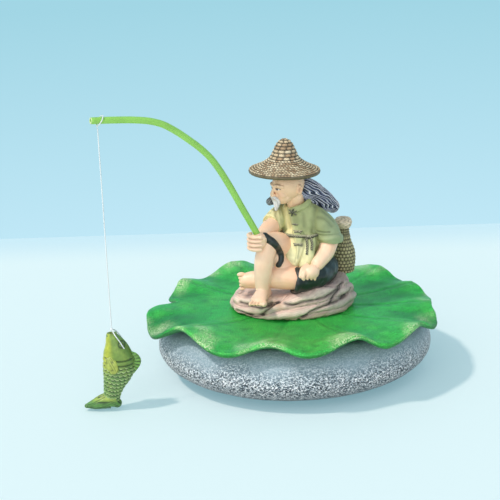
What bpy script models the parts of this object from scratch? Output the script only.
"""Floating pond ornament: an angler seated on a rock, on a lotus leaf that is glued to a round float.

Every length below is in millimetres, and MM turns it into Blender's metres. The origin is the
middle of the float's flat underside, +Z is up, and the front of the ornament looks along -Y.
The seated figure has a frame of its own, whose origin is the middle of the leaf's upper face.
"""

import math

import bpy
import numpy as np
from mathutils import Vector

MM = 0.001

# Clearance left between faces that are glued or that rest on each other
GAP = 0.3

# Round float, cast to look like a worn stone
FLOAT_DIAMETER = 150.0
FLOAT_HEIGHT = 32.5
FLOAT_FOOT_DIAMETER = 76.0
FLOAT_TOP_DIAMETER = 122.0
FLOAT_SECTORS = 48

# Lotus leaf: a wavy disc, high at each crest and drooping between two crests
LEAF_DIAMETER = 157.0
LEAF_THICKNESS = 3.0
LEAF_FLAT_RADIUS = 38.0
# Round the edge, crests and hollows in turn: direction in degrees, reach beyond the mean radius, rise
LEAF_EDGE = (
    (-161, 2.8, -3.0), (-143, -3.4, 6.6), (-119, 1.0, 0.6), (-101, -3.4, 6.0), (-86, 1.0, 2.2),
    (-66, -3.4, 7.2), (-54, 1.0, 0.8), (-33, -1.0, 4.2), (-22, 1.5, -1.2), (-5, -4.0, 3.2), (9, -3.0, 0.2),
    (21, -5.4, 3.4), (35, -2.6, -0.4), (47, -3.4, 5.2), (65, -1.6, 0.6), (82, -3.4, 4.5), (99, 0.0, 0.2),
    (116, -3.0, 6.4), (131, -1.5, -0.4), (146, -3.4, 4.6), (158, -4.6, -1.0), (169, -13.5, 0.6),
    (180, 1.0, 1.6),
)
LEAF_SECTORS = 77

# Rock under the figure
ROCK_LENGTH = 68.0
ROCK_DEPTH = 50.0
ROCK_HEIGHT = 10.0
ROCK_BACK_RISE = 8.5
ROCK_RISE_HEADING = math.radians(12)
ROCK_CENTRE = (-1.0, -2.0)
ROCK_SECTORS = 48

# Straw hat
HAT_BRIM_DIAMETER = 38.4
HAT_HEIGHT = 16.5
HAT_BRIM_THICKNESS = 1.8
HAT_CENTRE = (-3.2, -3.0, 77.6)
HAT_LEAN = (0.03, 0.03, 1.0)
HAT_SECTORS = 36
HAT_ROWS = 11
STRAW_RELIEF = 0.4

# Creel, a bottle-shaped basket behind the figure's left arm
CREEL_DIAMETER = 12.6
CREEL_HEIGHT = 31.5
CREEL_CENTRE = (28.6, 13.0, 14.0)
CREEL_SECTORS = 16
CREEL_ROWS = 9
CREEL_RELIEF = 0.35

# Rod: a bent plastic tube, held in the figure's right fist
ROD_DIAMETER = 3.6
ROD_BORE = 1.6
ROD_SIDES = 10
ROD_GRIP = (-18.5, -21.0, 46.2)
ROD_HEADING = math.radians(204.5)
ROD_ROUTE = (
    (-2.6, -5.6), (0.0, 0.0), (8.0, 15.2), (16.7, 31.7), (21.0, 39.1), (25.7, 45.9), (30.8, 51.4),
    (37.5, 57.2), (45.3, 63.2), (51.6, 67.1), (58.4, 69.6), (66.4, 71.2), (77.0, 72.5), (83.0, 73.1),
    (90.2, 73.7),
)
ROD_TIE_REACH = 86.7

# Thread: a slack turn round the rod, the free line, and a loop through the fish's head
THREAD_DIAMETER = 0.6
TIE_SLANT = 2.8
KNOT_DIAMETER = 1.7
KNOT_FLATNESS = 0.55
LINE_POINTS = 60
LINE_LEAN = 1.5

# Fish, cast with its tail curled forward, hanging with the tail just clear of the ground
FISH_LENGTH = 42.8
FISH_WIDTH = 10.8
FISH_CLEARANCE = 0.5
FISH_SECTORS = 24
FISH_HOLE_DIAMETER = 1.6
SCALE_RELIEF = 0.45
BACK_FIN_THICKNESS = 3.2

BODY_VOXEL = 0.55
BODY_TRIANGLES = 5200

LEAF_BASE = FLOAT_HEIGHT + GAP
LEAF_TOP = LEAF_BASE + LEAF_THICKNESS
FIGURE_BASE = LEAF_TOP + GAP


def clear_scene():
    for item in list(bpy.data.objects):
        bpy.data.objects.remove(item, do_unlink=True)


def material(name, colour, roughness, metallic=0.0):
    """A plain surface; the colour is given in linear light."""
    made = bpy.data.materials.new(name)
    made.use_nodes = True
    shader = made.node_tree.nodes["Principled BSDF"]
    shader.inputs["Base Color"].default_value = (*colour, 1.0)
    shader.inputs["Roughness"].default_value = roughness
    shader.inputs["Metallic"].default_value = metallic
    made.diffuse_color = (*colour, 1.0)
    return made


def mesh_object(name, shape, surface=None):
    """An object made from (points, faces), whose points are in millimetres."""
    points, faces = shape
    mesh = bpy.data.meshes.new(name)
    mesh.from_pydata([tuple(MM * value for value in point) for point in points], [], faces)
    mesh.validate()
    made = bpy.data.objects.new(name, mesh)
    bpy.context.scene.collection.objects.link(made)
    if surface:
        mesh.materials.append(surface)
    return made


def joined(shapes):
    """Several closed shells as one list of points and faces."""
    points = []
    faces = []
    for shape_points, shape_faces in shapes:
        start = len(points)
        points.extend(tuple(point) for point in shape_points)
        faces.extend(tuple(start + corner for corner in face) for face in shape_faces)
    return points, faces


def unit(vector):
    vector = np.asarray(vector, float)
    return vector / np.linalg.norm(vector)


def smooth_rows(rows, step):
    """Rows of numbers, the first three a place, resampled along a smooth curve through them."""
    rows = np.asarray(rows, float)
    spans = np.linalg.norm(np.diff(rows[:, :3], axis=0), axis=1)
    at = np.concatenate([[0.0], np.cumsum(spans)])
    slopes = np.gradient(rows, at, axis=0)
    count = max(2, int(math.ceil(at[-1] / step)) + 1)
    wanted = np.linspace(0.0, at[-1], count)
    span = np.clip(np.searchsorted(at, wanted, side="right") - 1, 0, len(at) - 2)
    width = at[span + 1] - at[span]
    t = ((wanted - at[span]) / width)[:, None]
    width = width[:, None]
    return (
        (2 * t**3 - 3 * t**2 + 1) * rows[span]
        + (t**3 - 2 * t**2 + t) * width * slopes[span]
        + (3 * t**2 - 2 * t**3) * rows[span + 1]
        + (t**3 - t**2) * width * slopes[span + 1]
    )


def frames_along(path, side, closed=False):
    """The two cross directions at each point of a path, kept from twisting."""
    if closed:
        ahead = np.roll(path, -1, axis=0) - np.roll(path, 1, axis=0)
    else:
        ahead = np.gradient(path, axis=0)
    ahead /= np.linalg.norm(ahead, axis=1)[:, None]
    across = []
    current = np.asarray(side, float)
    for direction in ahead:
        current = current - direction * np.dot(current, direction)
        current = unit(current)
        across.append(current)
    across = np.array(across)
    return ahead, across, np.cross(ahead, across)


def grid_faces(rows, columns, wrap_rows=False):
    """Quads between rings of points that each close on themselves."""
    faces = []
    for row in range(rows if wrap_rows else rows - 1):
        upper = (row + 1) % rows
        for column in range(columns):
            beside = (column + 1) % columns
            lower_pair = (row * columns + column, row * columns + beside)
            upper_pair = (upper * columns + beside, upper * columns + column)
            faces.append(lower_pair + upper_pair)
    return faces


def capped_rings(rings):
    """Rings of points closed by a point in the middle of each end."""
    columns = len(rings[0])
    points = [tuple(point) for ring in rings for point in ring]
    faces = grid_faces(len(rings), columns)
    first = len(points)
    points.append(tuple(np.mean(rings[0], axis=0)))
    points.append(tuple(np.mean(rings[-1], axis=0)))
    top = (len(rings) - 1) * columns
    for column in range(columns):
        beside = (column + 1) % columns
        faces.append((first, beside, column))
        faces.append((first + 1, top + column, top + beside))
    return points, faces


def limb(rows, side=(1.0, 0.0, 0.0), sides=14, step=1.2, round_ends=True):
    """A tapering round-ended tube. Each row is x, y, z, radius and, if oval, the second radius."""
    rows = [tuple(row) + (row[3],) * (5 - len(row)) for row in rows]
    rows = smooth_rows(rows, step)
    ahead, across, upward = frames_along(rows[:, :3], side)
    angles = np.arange(sides) * 2 * math.pi / sides
    stations = [(*spot, 0.0, 1.0) for spot in zip(rows, ahead, across, upward)]
    if round_ends:
        turns = [math.radians(turn) for turn in (30, 58, 80)]
        head = [(*stations[-1][:4], math.sin(turn), math.cos(turn)) for turn in turns]
        tail = [(*stations[0][:4], -math.sin(turn), math.cos(turn)) for turn in reversed(turns)]
        stations = tail + stations + head
    rings = []
    for row, forward, right, up, push, shrink in stations:
        middle = row[:3] + forward * push * 0.5 * (row[3] + row[4])
        ring = [
            middle + shrink * (row[3] * math.cos(angle) * right + row[4] * math.sin(angle) * up)
            for angle in angles
        ]
        rings.append(ring)
    return capped_rings(rings)


def ball(centre, radii, forward=(1.0, 0.0, 0.0), sides=16):
    """An ellipsoid whose radii run forward, sideways and up."""
    ahead = unit(forward)
    across = unit(np.cross((0.0, 0.0, 1.0), ahead))
    up = np.cross(ahead, across)
    rings = []
    rows = sides // 2
    for row in range(1, rows):
        tilt = math.pi * row / rows - math.pi / 2
        ring = []
        for column in range(sides):
            turn = 2 * math.pi * column / sides
            reach = math.cos(tilt)
            ring.append(
                np.asarray(centre)
                + radii[0] * reach * math.cos(turn) * ahead
                + radii[1] * reach * math.sin(turn) * across
                + radii[2] * math.sin(tilt) * up
            )
        rings.append(ring)
    points, faces = capped_rings(rings)
    points[-2] = tuple(np.asarray(centre) - radii[2] * up)
    points[-1] = tuple(np.asarray(centre) + radii[2] * up)
    return points, faces


def turned(profile, sectors, relief=None):
    """A profile of (radius, height) from the bottom middle to the top middle, turned about Z.

    The relief is a height above the profile, square to it, for each row and column.
    """
    profile = np.asarray(profile, float)
    along = np.gradient(profile, axis=0)
    outward = np.stack([along[:, 1], -along[:, 0]], axis=1)
    outward /= np.linalg.norm(outward, axis=1)[:, None]
    rings = []
    for row, spot in enumerate(profile):
        ring = []
        for column in range(sectors):
            turn = 2 * math.pi * column / sectors
            swell = relief(row, column) if relief else 0.0
            radius, height = spot + swell * outward[row]
            ring.append((radius * math.cos(turn), radius * math.sin(turn), height))
        rings.append(ring)
    return capped_rings(rings)


def placed(shape, centre, up=(0.0, 0.0, 1.0)):
    """A shape modelled about Z, leaned so that Z runs along up and moved to the centre."""
    lean = Vector((0.0, 0.0, 1.0)).rotation_difference(Vector(up).normalized())
    points, faces = shape
    moved = [tuple(lean @ Vector(point) + Vector(centre)) for point in points]
    return moved, faces


def evaluated(item):
    """The object with its modifiers worked into its mesh."""
    graph = bpy.context.evaluated_depsgraph_get()
    mesh = bpy.data.meshes.new_from_object(item.evaluated_get(graph))
    item.modifiers.clear()
    item.data = mesh
    return item


def combine(item, tool, operation):
    """A Boolean of two closed bodies; the second one is used up."""
    change = item.modifiers.new(operation.title(), "BOOLEAN")
    change.operation = operation
    change.solver = "EXACT"
    change.object = tool
    evaluated(item)
    bpy.data.objects.remove(tool, do_unlink=True)
    return item


def moulded(name, shapes, triangles):
    """Overlapping shells flowed together into one skin, then thinned to a number of triangles."""
    body = mesh_object(name, joined(shapes))
    remesh = body.modifiers.new("Flow together", "REMESH")
    remesh.mode = "VOXEL"
    remesh.voxel_size = BODY_VOXEL * MM
    soften = body.modifiers.new("Soften", "SMOOTH")
    soften.factor = 0.5
    soften.iterations = 3
    evaluated(body)
    thin = body.modifiers.new("Thin", "DECIMATE")
    thin.ratio = triangles / (2 * len(body.data.polygons))
    return evaluated(body)


def finish(item, surface, angle=40.0):
    """One material and smooth shading with the sharper edges kept."""
    item.data.materials.clear()
    item.data.materials.append(surface)
    item.data.shade_smooth()
    item.data.set_sharp_from_angle(angle=math.radians(angle))
    return item


def float_profile():
    """The float's half outline, from the foot up to the flat top, as two elliptic quarters."""
    radius = FLOAT_DIAMETER / 2
    foot = FLOAT_FOOT_DIAMETER / 2
    top = FLOAT_TOP_DIAMETER / 2
    waist = 0.5 * FLOAT_HEIGHT
    profile = [(0.35 * foot, 0.0), (foot, 0.0)]
    for turn in (12, 30, 48, 66, 84):
        turn = math.radians(turn)
        profile.append((foot + (radius - foot) * math.sin(turn), waist * (1 - math.cos(turn))))
    profile.append((radius, waist))
    for turn in (20, 40, 60, 78):
        turn = math.radians(turn)
        rise = (FLOAT_HEIGHT - waist) * math.sin(turn)
        profile.append((top + (radius - top) * math.cos(turn), waist + rise))
    profile.append((top, FLOAT_HEIGHT))
    profile.append((0.35 * top, FLOAT_HEIGHT))
    return profile


def leaf_edge_at(turn):
    """The edge's reach beyond the mean radius and its rise, in one direction."""
    spots = sorted((angle % 360, reach, rise) for angle, reach, rise in LEAF_EDGE)
    spots.append((spots[0][0] + 360, *spots[0][1:]))
    degrees = math.degrees(turn) % 360
    if degrees < spots[0][0]:
        degrees += 360
    for (angle, reach, rise), (following, next_reach, next_rise) in zip(spots, spots[1:]):
        if degrees <= following:
            share = 0.5 - 0.5 * math.cos(math.pi * (degrees - angle) / (following - angle))
            return reach + share * (next_reach - reach), rise + share * (next_rise - rise)
    return spots[0][1:]


def leaf_shape():
    """The leaf as one closed skin: upper face, rounded edge and underside."""
    half = LEAF_THICKNESS / 2
    held = FLOAT_TOP_DIAMETER / 2
    edge_swell = 0.9 * half
    outer_fractions = (0.0, 0.28, 0.52, 0.74, 0.9, 1.0)

    def ring(fraction, level, grow):
        points = []
        for column in range(LEAF_SECTORS):
            turn = 2 * math.pi * column / LEAF_SECTORS
            reach, rise = leaf_edge_at(turn)
            rim = LEAF_DIAMETER / 2 + reach
            radius = LEAF_FLAT_RADIUS + (rim - LEAF_FLAT_RADIUS) * fraction
            overhang = max(0.0, radius - held) / (rim - held)
            bend = fraction**1.7 if rise > 0.0 else overhang**1.3
            height = LEAF_BASE + half + rise * bend + level
            points.append(((radius + grow) * math.cos(turn), (radius + grow) * math.sin(turn), height))
        return points

    rings = [[(0.4 * x, 0.4 * y, z) for x, y, z in ring(0.0, -half, 0.0)]]
    for fraction in outer_fractions:
        rings.append(ring(fraction, -half if fraction < 1.0 else -edge_swell, 0.0))
    rings.append(ring(1.0, -0.4 * half, edge_swell))
    rings.append(ring(1.0, 0.4 * half, edge_swell))
    for fraction in reversed(outer_fractions):
        rings.append(ring(fraction, half if fraction < 1.0 else edge_swell, 0.0))
    rings.append([(0.4 * x, 0.4 * y, z) for x, y, z in ring(0.0, half, 0.0)])
    return capped_rings(rings)


def rock_shape():
    """The rock: flowing layers round the side, and a top that rises towards its right end."""
    layers = (
        (0.94, 0.0), (0.99, 0.1), (1.0, 0.26), (0.985, 0.38), (0.945, 0.42), (0.965, 0.5),
        (0.97, 0.64), (0.935, 0.72), (0.9, 0.75), (0.9, 0.86), (0.82, 0.97), (0.6, 1.0), (0.25, 1.0),
    )
    rings = []
    for reach, level in layers:
        ring = []
        for column in range(ROCK_SECTORS):
            turn = 2 * math.pi * column / ROCK_SECTORS
            bulge = 1.0 + 0.025 * math.sin(3 * turn + 0.6) + 0.018 * math.sin(7 * turn + 4.0 * level)
            x = 0.5 * ROCK_LENGTH * reach * bulge * math.cos(turn)
            y = 0.5 * ROCK_DEPTH * reach * bulge * math.sin(turn)
            lift = ROCK_BACK_RISE * (0.5 + 0.5 * math.cos(turn - ROCK_RISE_HEADING)) ** 1.5 * reach
            ripple = 0.7 * math.sin(4 * turn + 1.0) * math.sin(math.pi * min(level, 1.0))
            z = level * (ROCK_HEIGHT + lift) + ripple
            ring.append((ROCK_CENTRE[0] + x, ROCK_CENTRE[1] + y, z))
        rings.append(ring)
    return capped_rings(rings)


def hat_outline():
    """The hat's upper face from the edge of the brim to the apex, in rows of equal width."""
    rim = HAT_BRIM_DIAMETER / 2
    outline = np.array(
        [
            (1.0, 0.0), (0.76, 0.12), (0.53, 0.27), (0.43, 0.37), (0.34, 0.55),
            (0.27, 0.73), (0.235, 0.81), (0.2, 0.875), (0.15, 0.94), (0.08, 0.985), (0.0, 1.0),
        ]
    ) * (rim, HAT_HEIGHT)
    at = np.concatenate([[0.0], np.cumsum(np.linalg.norm(np.diff(outline, axis=0), axis=1))])
    wanted = np.linspace(0.0, at[-1], 2 * HAT_ROWS + 2)[:-1]
    return np.stack([np.interp(wanted, at, outline[:, 0]), np.interp(wanted, at, outline[:, 1])], axis=1)


def hat_shape():
    """The hat: rows of plaited straw outside, and a shallow hollow below the brim."""
    rim = HAT_BRIM_DIAMETER / 2
    edge = HAT_BRIM_THICKNESS
    under = [(0.3 * rim, -0.4), (0.75 * rim, -0.6), (0.97 * rim, -edge), (rim, -0.5 * edge)]

    def relief(row, column):
        straw = row - len(under)
        if straw < 1 or straw % 2 == 0:
            return 0.0
        block = (column // 2 + straw // 2) % 2
        return STRAW_RELIEF * (0.4 + 0.6 * block)

    shape = turned(under + [tuple(spot) for spot in hat_outline()], HAT_SECTORS, relief)
    return placed(shape, HAT_CENTRE, HAT_LEAN)


def creel_shape():
    """The creel: woven rows up the belly, a narrow neck and a flared lid."""
    radius = CREEL_DIAMETER / 2
    profile = [(0.45 * radius, 0.0), (0.7 * radius, 0.3)]
    plain_rows = len(profile)
    belly = 0.66 * CREEL_HEIGHT
    for row in range(2 * CREEL_ROWS):
        level = (row + 0.5) / (2 * CREEL_ROWS)
        swell = 0.72 + 0.28 * math.sin(math.pi * min(1.0, 0.12 + 0.98 * level))
        taper = 1.0 - 0.22 * max(0.0, level - 0.6) / 0.4
        profile.append((radius * swell * taper, 0.3 + belly * level))
    woven_rows = plain_rows + 2 * CREEL_ROWS
    profile.extend(
        (
            (0.5 * radius, 0.74 * CREEL_HEIGHT),
            (0.5 * radius, 0.8 * CREEL_HEIGHT),
            (0.72 * radius, 0.86 * CREEL_HEIGHT),
            (0.74 * radius, 0.93 * CREEL_HEIGHT),
            (0.5 * radius, 0.99 * CREEL_HEIGHT),
        )
    )

    def relief(row, column):
        if not plain_rows <= row < woven_rows or row % 2:
            return 0.0
        return CREEL_RELIEF * (1.0 if (column + row // 2) % 2 else 0.35)

    return placed(turned(profile, CREEL_SECTORS, relief), CREEL_CENTRE)


def rod_place(reach, rise):
    """A place on the rod, from its reach out of the fist and its rise above it, in the figure's frame."""
    x, y, z = ROD_GRIP
    return (x + reach * math.cos(ROD_HEADING), y + reach * math.sin(ROD_HEADING), z + rise)


def head_shapes():
    face = (-0.86, -0.51, 0.0)
    shapes = [
        ball((-2.0, -5.2, 69.2), (8.6, 7.4, 8.6), face),
        ball((-5.2, -7.0, 64.2), (5.8, 5.4, 6.2), face),
        limb([(3.4, -1.0, 54.0, 5.6), (1.0, -3.0, 63.0, 5.0)]),
        limb([(-9.2, -9.4, 69.8, 0.9), (-10.4, -10.3, 67.4, 1.3), (-10.0, -10.0, 66.4, 1.2)], step=0.8),
        limb([(-8.2, -9.0, 62.6, 3.0), (-8.7, -9.6, 60.4, 2.3), (-9.4, -10.4, 57.2, 0.8)], step=0.8),
        ball((2.8, -10.4, 68.8), (1.5, 1.0, 2.6), (-0.6, -0.3, 0.0)),
        ball((-4.8, 2.0, 68.8), (1.5, 1.0, 2.6), (-0.9, -0.3, 0.0)),
    ]
    hair = [
        limb(
            [
                (3.5, -1.5, 67.0, 6.2), (8.5, 0.6, 65.0, 6.1), (14.0, 3.0, 61.4, 5.7),
                (18.5, 5.0, 57.0, 5.1), (22.8, 7.0, 53.5, 3.7),
            ]
        ),
        limb([(-2.0, 2.2, 64.0, 3.6), (-7.5, 0.5, 60.8, 2.8), (-11.6, -2.2, 59.6, 1.9)]),
    ]
    return shapes + hair


def finger_row(starts, direction, bend, radius):
    """Four fingers side by side, each a short bent tube."""
    shapes = []
    for start in starts:
        start = np.asarray(start, float)
        middle = start + np.asarray(direction)
        end = middle + np.asarray(bend)
        rows = [(*start, radius), (*middle, 1.05 * radius), (*end, 0.9 * radius)]
        shapes.append(limb(rows, sides=10, step=0.8))
    return shapes


def arm_shapes():
    right_grip = np.asarray(ROD_GRIP)
    shapes = [
        limb([(-7.0, 1.0, 47.0, 4.8), (-12.5, -8.5, 46.8, 4.3), (-16.6, -16.5, 45.0, 3.4)]),
        ball(right_grip + (-0.2, -0.3, -2.8), (4.7, 4.6, 5.0)),
        limb([(20.3, -5.5, 39.0, 5.0), (18.0, -10.5, 33.5, 4.7), (13.0, -17.6, 28.6, 3.7)]),
        ball((9.6, -21.6, 25.2), (4.8, 4.1, 4.0), (-0.8, -0.6, 0.0)),
        limb([(7.0, -19.6, 28.2, 1.6), (5.0, -22.6, 27.0, 1.5), (4.4, -24.6, 24.8, 1.2)], sides=10),
    ]
    grip_starts = [right_grip + (-4.3, 1.0, level) for level in (0.4, -1.8, -4.0, -6.0)]
    shapes += finger_row(grip_starts, (0.4, -4.2, -0.1), (4.6, -1.0, -0.3), 1.3)
    rest_starts = [np.asarray((6.6, -23.8, 26.6)) + np.asarray((2.1, 0.85, -0.35)) * step for step in range(4)]
    shapes += finger_row(rest_starts, (-1.0, -1.2, -2.6), (0.6, 0.8, -2.0), 1.3)
    return shapes


def leg_shapes():
    upright = (0.0, 0.0, 1.0)
    right_thigh = [
        (7.0, 4.0, 24.0, 8.6), (-1.0, -4.0, 31.5, 7.6), (-8.5, -11.5, 38.0, 6.8), (-12.6, -16.0, 41.2, 5.4),
    ]
    right_shin = [
        (-12.8, -17.0, 41.2, 5.2), (-15.2, -19.0, 33.0, 5.4),
        (-16.6, -19.4, 24.0, 4.7), (-17.0, -18.8, 15.0, 3.6),
    ]
    right_foot = [(-15.4, -15.8, 12.6, 3.4), (-17.6, -21.5, 13.2, 3.8), (-19.4, -26.6, 11.8, 4.7, 2.5)]
    right_hem = [
        (-11.4, -12.5, 42.0, 5.2), (-7.0, -10.0, 38.0, 6.0), (-3.5, -7.5, 29.0, 5.4), (-3.0, -7.0, 22.0, 3.6),
    ]
    left_thigh = [
        (18.6, 1.6, 21.0, 8.4), (16.6, -8.0, 20.4, 8.2), (11.0, -16.4, 19.6, 7.8), (2.6, -20.0, 19.0, 7.2),
    ]
    left_calf = [
        (3.0, -18.6, 19.2, 6.2), (-3.6, -16.0, 20.2, 6.7),
        (-12.0, -12.4, 19.8, 5.8), (-18.5, -10.2, 18.6, 4.4),
    ]
    left_foot = [(-18.0, -10.0, 18.4, 4.2), (-22.0, -9.2, 18.0, 4.2), (-25.4, -8.8, 17.4, 3.6, 4.0)]
    shapes = [
        limb(right_thigh),
        limb(right_shin),
        limb(right_foot, side=(0.95, -0.3, 0.0)),
        limb(right_hem),
        limb(left_thigh),
        limb(left_calf),
        limb(left_foot, side=upright),
    ]
    for toe in range(5):
        root = np.asarray((-20.2, -29.0, 11.0)) + np.asarray((1.95, -0.5, 0.0)) * (toe - 2)
        shapes.append(ball(root, (1.9, 1.1, 1.2), (-0.3, -0.95, 0.0), sides=10))
    for toe in range(4):
        root = np.asarray((-27.6, -9.6, 20.2)) + np.asarray((0.1, -0.3, -1.8)) * toe
        shapes.append(ball(root, (1.7, 1.3, 1.1), (-1.0, -0.1, 0.0), sides=10))
    return shapes


def shirt_shapes():
    """The shirt over the trunk, its collar, sleeves and front tails, and the belt with its two loose ends."""
    left = (0.866, -0.5, 0.0)
    trunk = [
        (12.0, 3.0, 18.0, 12.5, 10.0), (10.0, 1.5, 27.0, 13.0, 10.2), (7.6, 0.5, 34.0, 12.8, 9.8),
        (5.6, 0.0, 42.0, 12.6, 9.2), (4.6, 0.3, 48.0, 13.4, 8.8), (4.4, 0.4, 52.5, 11.0, 7.6),
        (3.6, 0.0, 57.0, 7.0, 6.2), (3.2, -0.6, 60.0, 5.9, 5.6),
    ]
    left_sleeve = [
        (12.6, -3.2, 50.0, 6.4), (16.6, -4.8, 46.5, 6.8), (19.6, -5.9, 41.0, 6.8), (20.2, -6.0, 39.0, 6.8),
    ]
    right_sleeve = [(-2.4, 3.6, 51.6, 6.2), (-7.2, 0.2, 49.4, 6.2), (-10.8, -4.0, 47.6, 5.7)]
    right_tail = [(1.0, -8.6, 42.5, 6.0, 2.0), (-0.4, -11.6, 36.0, 6.8, 2.0), (-2.0, -13.2, 30.2, 5.4, 1.5)]
    left_tail = [(8.6, -10.6, 42.0, 4.2, 1.8), (7.8, -13.6, 35.5, 4.6, 1.8), (6.4, -15.2, 30.0, 3.6, 1.4)]
    belt_ends = (
        [(5.2, -10.4, 42.0, 0.7), (5.6, -13.4, 38.0, 0.7), (5.4, -15.2, 33.6, 0.8)],
        [(8.2, -11.9, 41.6, 0.7), (8.9, -14.4, 38.0, 0.7), (8.9, -15.8, 34.8, 0.8)],
    )
    belt = []
    for step in range(33):
        turn = 2 * math.pi * step / 32
        across = 12.9 * math.cos(turn)
        out = 9.6 * math.sin(turn)
        belt.append((5.6 + across * left[0] + out * 0.5, across * left[1] + out * 0.866, 42.2, 0.8))
    collar = []
    for step in range(15):
        turn = math.radians(20 + 320 * step / 14)
        out = 7.2 * math.cos(turn)
        across = 6.8 * math.sin(turn)
        place = (2.9 - 0.86 * out + 0.51 * across, -1.8 - 0.51 * out - 0.86 * across)
        collar.append((*place, 58.8 - 1.6 * math.cos(turn), 2.0, 1.0))
    shapes = [
        limb(trunk, side=left, sides=24, round_ends=False),
        limb(left_sleeve, sides=18, round_ends=False),
        limb(right_sleeve, sides=16, round_ends=False),
        limb(right_tail, side=left),
        limb(left_tail, side=left),
        limb(collar, side=(0.0, 0.0, 1.0), sides=10),
        limb(belt, side=(0.0, 0.0, 1.0), sides=8, step=1.6),
    ]
    return shapes + [limb(end, sides=8, step=0.8) for end in belt_ends]


def fisherman(surface):
    """Figure, hat, creel and rock, cast as one piece, with a blind hole in the fist for the rod."""
    clay = head_shapes() + arm_shapes() + leg_shapes() + shirt_shapes()
    body = moulded("fisherman", clay, BODY_TRIANGLES)
    for name, shape in (("hat", hat_shape()), ("creel", creel_shape()), ("rock", rock_shape())):
        combine(body, mesh_object(name, shape), "UNION")
    body.location = (0.0, 0.0, FIGURE_BASE * MM)
    bpy.context.view_layer.update()
    bore_route = [rod_place(*spot) for spot in ROD_ROUTE[:4]]
    below = np.asarray(bore_route[0]) - unit(np.subtract(bore_route[1], bore_route[0])) * GAP
    path = smooth_rows([tuple(below)] + bore_route, 2.5)
    _, across, upward = frames_along(path, (0.0, 1.0, 0.0))
    reach = ROD_DIAMETER / 2 + GAP
    rings = []
    for place, right, up in zip(path, across, upward):
        turns = [2 * math.pi * side / ROD_SIDES for side in range(ROD_SIDES)]
        rings.append([place + reach * (math.cos(turn) * right + math.sin(turn) * up) for turn in turns])
    cutter = mesh_object("rod_hole", capped_rings(rings))
    cutter.location = body.location
    bpy.context.view_layer.update()
    combine(body, cutter, "DIFFERENCE")
    return finish(body, surface)


def tube_shape(path, outer, bore, sides, side):
    """A tube open at both ends."""
    _, across, upward = frames_along(path, side)
    turns = [2 * math.pi * step / sides for step in range(sides)]
    walls = []
    for radius in (outer / 2, bore / 2):
        for place, right, up in zip(path, across, upward):
            spokes = [math.cos(turn) * right + math.sin(turn) * up for turn in turns]
            walls.append([place + radius * spoke for spoke in spokes])
    rows = len(path)
    rings = walls[:rows] + list(reversed(walls[rows:]))
    points = [tuple(point) for ring in rings for point in ring]
    return points, grid_faces(2 * rows, sides, wrap_rows=True)


def fishing_rod(surface):
    route = [(*rod_place(*spot), 0.0) for spot in ROD_ROUTE]
    path = smooth_rows(route, 4.2)[:, :3]
    rod = mesh_object("fishing_rod", tube_shape(path, ROD_DIAMETER, ROD_BORE, ROD_SIDES, (0.0, 1.0, 0.0)))
    rod.location = (0.0, 0.0, FIGURE_BASE * MM)
    return finish(rod, surface)


def tie_place():
    """The rod's axis point at the tie, and the rod's direction there, both in the world frame."""
    (inner_reach, inner_rise), (outer_reach, outer_rise) = ROD_ROUTE[-2:]
    share = (ROD_TIE_REACH - inner_reach) / (outer_reach - inner_reach)
    inner = np.asarray(rod_place(inner_reach, inner_rise))
    outer = np.asarray(rod_place(outer_reach, outer_rise))
    lifted = np.asarray((0.0, 0.0, FIGURE_BASE))
    return inner + share * (outer - inner) + lifted, unit(outer - inner)


def ring_shape(path, diameter, sides, side):
    """A closed ring of round thread along a closed path."""
    _, across, upward = frames_along(path, side, closed=True)
    turns = [2 * math.pi * step / sides for step in range(sides)]
    rings = [
        [place + 0.5 * diameter * (math.cos(turn) * right + math.sin(turn) * up) for turn in turns]
        for place, right, up in zip(path, across, upward)
    ]
    return [tuple(point) for ring in rings for point in ring], grid_faces(len(rings), sides, wrap_rows=True)


def knot_drop():
    """How far the tie's knot hangs below the rod's axis."""
    return ROD_DIAMETER / 2 + GAP + THREAD_DIAMETER + 0.15 * KNOT_DIAMETER


def line_tie(surface):
    """A slack turn of thread round the rod, slanted back over it, with its knot below."""
    middle, along = tie_place()
    across = unit(np.cross((0.0, 0.0, 1.0), along))
    up = np.cross(along, across)
    reach = ROD_DIAMETER / 2 + GAP + THREAD_DIAMETER / 2
    path = []
    for step in range(28):
        turn = 2 * math.pi * step / 28
        slide = -0.5 * TIE_SLANT * (1 + math.sin(turn))
        path.append(middle + slide * along + reach * (math.cos(turn) * across + math.sin(turn) * up))
    turn_of_thread = mesh_object("line_tie", ring_shape(np.array(path), THREAD_DIAMETER, 8, along))
    radii = np.asarray((0.62, 0.62, KNOT_FLATNESS)) * KNOT_DIAMETER / 2
    knot = mesh_object("knot", ball(middle - knot_drop() * up, radii, sides=12))
    combine(turn_of_thread, knot, "UNION")
    return finish(turn_of_thread, surface)


def fish_frame():
    """The world place of the fish's own origin: below the tie, at the height of its lowest point."""
    middle, along = tie_place()
    level_heading = unit((along[0], along[1], 0.0))
    return middle - LINE_LEAN * level_heading - (0.0, 0.0, middle[2] - FISH_CLEARANCE)


def fish_knot():
    """The knot above the fish's mouth, in the fish's frame."""
    return np.asarray((0.0, 0.0, 1.035 * FISH_LENGTH))


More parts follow.
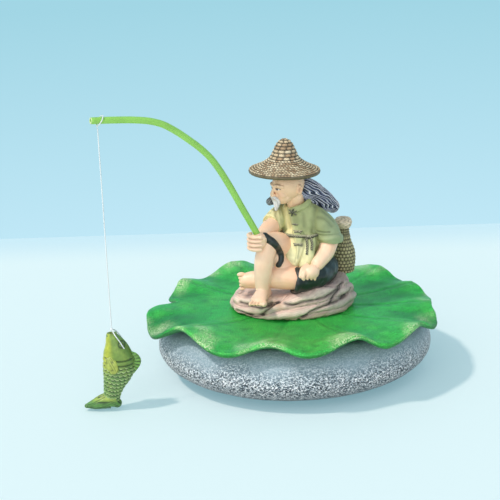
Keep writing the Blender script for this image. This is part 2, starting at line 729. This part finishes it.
def fishing_line(surface):
    """The free line, from below the knot at the rod to above the knot at the fish."""
    middle, _ = tie_place()
    knot_radius = KNOT_DIAMETER / 2
    top = middle - (0.0, 0.0, knot_drop() + KNOT_FLATNESS * knot_radius + GAP)
    bottom = fish_frame() + fish_knot() + (0.0, 0.0, knot_radius + GAP)
    curve = bpy.data.curves.new("fishing_line", "CURVE")
    curve.dimensions = "3D"
    curve.bevel_depth = 0.5 * THREAD_DIAMETER * MM
    curve.bevel_resolution = 2
    curve.use_fill_caps = True
    spline = curve.splines.new("POLY")
    spline.points.add(LINE_POINTS - 1)
    for index in range(LINE_POINTS):
        share = index / (LINE_POINTS - 1)
        place = top + share * (bottom - top)
        spline.points[index].co = (*(MM * place), 1.0)
    line = bpy.data.objects.new("fishing_line", curve)
    bpy.context.scene.collection.objects.link(line)
    curve.materials.append(surface)
    return line


def fish_rows():
    """The fish's stations from the mouth down: x, y, z, half height and half width."""
    tall = FISH_LENGTH
    wide = FISH_WIDTH / 2
    return [
        (-0.1, 0.0, 0.98 * tall, 2.6, 0.4 * wide),
        (0.8, 0.0, 0.93 * tall, 4.0, 0.6 * wide),
        (1.9, 0.0, 0.86 * tall, 5.4, 0.78 * wide),
        (2.5, 0.0, 0.74 * tall, 7.4, 0.94 * wide),
        (3.0, 0.0, 0.63 * tall, 8.2, wide),
        (2.7, 0.0, 0.51 * tall, 8.0, 0.98 * wide),
        (1.5, 0.0, 0.39 * tall, 6.8, 0.87 * wide),
        (-0.5, 0.0, 0.27 * tall, 5.0, 0.7 * wide),
        (-1.4, 0.0, 0.18 * tall, 4.1, 0.6 * wide),
    ]


def fish_body_shape():
    """The body: a small open mouth on top, two gill grooves, and scales behind them."""
    rows = smooth_rows(fish_rows(), 1.15)
    first_scale = int(0.4 * len(rows))
    gill_rows = (int(0.3 * len(rows)), first_scale - 1)
    gill_depth = 0.35
    turns = [2 * math.pi * column / FISH_SECTORS for column in range(FISH_SECTORS)]
    lip_x, _, lip_z, lip_tall, lip_wide = rows[0]
    rings = []
    for shrink, rise in ((0.25, -1.3), (0.6, 0.4), (0.85, 0.65)):
        rings.append(
            [
                (lip_x + shrink * lip_tall * math.cos(turn), shrink * lip_wide * math.sin(turn), lip_z + rise)
                for turn in turns
            ]
        )
    for index, (x, _, z, tall, wide) in enumerate(rows):
        ring = []
        for column, turn in enumerate(turns):
            swell = 0.0
            if index >= first_scale and (index // 2 + column // 2) % 2:
                swell = SCALE_RELIEF
            if index in gill_rows and abs(math.sin(turn)) > 0.35:
                swell = -gill_depth
            ring.append((x + (tall + swell) * math.cos(turn), (wide + swell) * math.sin(turn), z))
        rings.append(ring)
    return turned_over(capped_rings(rings))


def turned_over(shape):
    """The same shell with its faces looking the other way."""
    points, faces = shape
    return points, [tuple(reversed(face)) for face in faces]


def fin_shape(outline, thickness):
    """A flat fin with a thin edge: an outline in the fish's X-Z plane and a fuller middle."""
    outline = np.asarray(outline, float)
    middle = outline.mean(axis=0)
    rings = []
    for side, shrink in ((-1.0, 0.55), (-0.45, 0.92), (0.0, 1.0), (0.45, 0.92), (1.0, 0.55)):
        flat = middle + shrink * (outline - middle)
        rings.append([(x, side * thickness / 2, z) for x, z in flat])
    return turned_over(capped_rings(rings))


def fish_tail_shape():
    tall = FISH_LENGTH
    wide = FISH_WIDTH / 2
    rows = [
        (0.8, 0.0, 0.08 * tall, 2.4, 0.5 * wide),
        (-1.8, 0.0, 0.118 * tall, 4.5, 0.62 * wide),
        (-6.0, 0.0, 0.105 * tall, 4.0, 0.6 * wide),
        (-11.0, 0.0, 0.071 * tall, 2.6, 0.5 * wide),
        (-15.0, 0.0, 0.052 * tall, 1.1, 0.3 * wide),
    ]
    return limb(rows, side=(0.0, 0.0, 1.0), step=2.0)


def side_fin_shape(side):
    tall = FISH_LENGTH
    wide = FISH_WIDTH / 2
    rows = [
        (-1.4, side * 0.84 * wide, 0.68 * tall, 2.2, 0.9),
        (-0.4, side * 1.0 * wide, 0.61 * tall, 3.0, 0.9),
        (0.8, side * 1.05 * wide, 0.54 * tall, 2.2, 0.7),
    ]
    return limb(rows, side=(1.0, 0.0, 0.3), sides=12, step=2.0)


def fish(surface):
    """The fish: body, tail fin, back fin and side fins in one casting, with a cross hole for the thread."""
    body = mesh_object("fish", fish_body_shape())
    back_fin = (
        (8.0, 0.77), (10.4, 0.75), (13.4, 0.69), (14.4, 0.63),
        (13.4, 0.545), (11.0, 0.46), (8.0, 0.44), (6.5, 0.6),
    )
    fin_outline = [(x, z * FISH_LENGTH) for x, z in back_fin]
    fins = [fin_shape(fin_outline, BACK_FIN_THICKNESS), side_fin_shape(-1.0), side_fin_shape(1.0)]
    for shape in [fish_tail_shape(), *fins]:
        combine(body, mesh_object("addition", shape), "UNION")
    hole_x, hole_z = fish_hole_place()
    radius = FISH_HOLE_DIAMETER / 2
    turns = [2 * math.pi * step / 12 for step in range(12)]
    circle = [(hole_x + radius * math.cos(turn), hole_z + radius * math.sin(turn)) for turn in turns]
    rings = [[(x, y, z) for x, z in circle] for y in (-FISH_WIDTH, FISH_WIDTH)]
    combine(body, mesh_object("thread_hole", turned_over(capped_rings(rings))), "DIFFERENCE")
    body.location = tuple(MM * fish_frame())
    return finish(body, surface)


def fish_hole_place():
    """Where the thread's cross hole sits in the fish's head."""
    return 6.4, 0.81 * FISH_LENGTH


def fish_loop(surface):
    """Thread through the head's cross hole, up both cheeks to a knot above the mouth."""
    hole_x, hole_z = fish_hole_place()
    knot = fish_knot()
    out = 0.34 * FISH_WIDTH + GAP + THREAD_DIAMETER / 2
    route = [
        (knot[0] + 0.3, -0.5, knot[2] - 0.4),
        (1.9, -0.86 * out, 0.985 * FISH_LENGTH),
        (4.4, -out, 0.9 * FISH_LENGTH),
        (hole_x - 0.1, -out + 0.3, hole_z + 0.3),
        (hole_x, -out + 1.6, hole_z),
        (hole_x, 0.0, hole_z),
    ]
    mirrored = [(x, -y, z) for x, y, z in reversed(route[:-1])]
    rows = [(*spot, 0.0) for spot in route + mirrored + [route[0]]]
    path = smooth_rows(rows, 0.9)[:-1, :3]
    loop = mesh_object("fish_loop", ring_shape(path, THREAD_DIAMETER, 8, (1.0, 0.0, 0.0)))
    radius = KNOT_DIAMETER / 2
    combine(loop, mesh_object("mouth_knot", ball(knot, (radius, radius, radius), sides=12)), "UNION")
    loop.location = tuple(MM * fish_frame())
    return finish(loop, surface)


def main():
    clear_scene()
    stone = material("speckled grey resin", (0.33, 0.37, 0.41), 0.75)
    leaf_green = material("leaf green paint", (0.06, 0.42, 0.09), 0.4)
    painted = material("painted resin", (0.6, 0.42, 0.28), 0.6)
    rod_green = material("green plastic tube", (0.16, 0.47, 0.04), 0.35)
    thread = material("white thread", (0.82, 0.85, 0.86), 0.85)
    fish_green = material("fish green paint", (0.25, 0.42, 0.09), 0.45)
    finish(mesh_object("float_base", turned(float_profile(), FLOAT_SECTORS)), stone)
    finish(mesh_object("lotus_leaf", leaf_shape()), leaf_green, 60.0)
    fisherman(painted)
    fishing_rod(rod_green)
    line_tie(thread)
    fishing_line(thread)
    fish_loop(thread)
    fish(fish_green)


main()
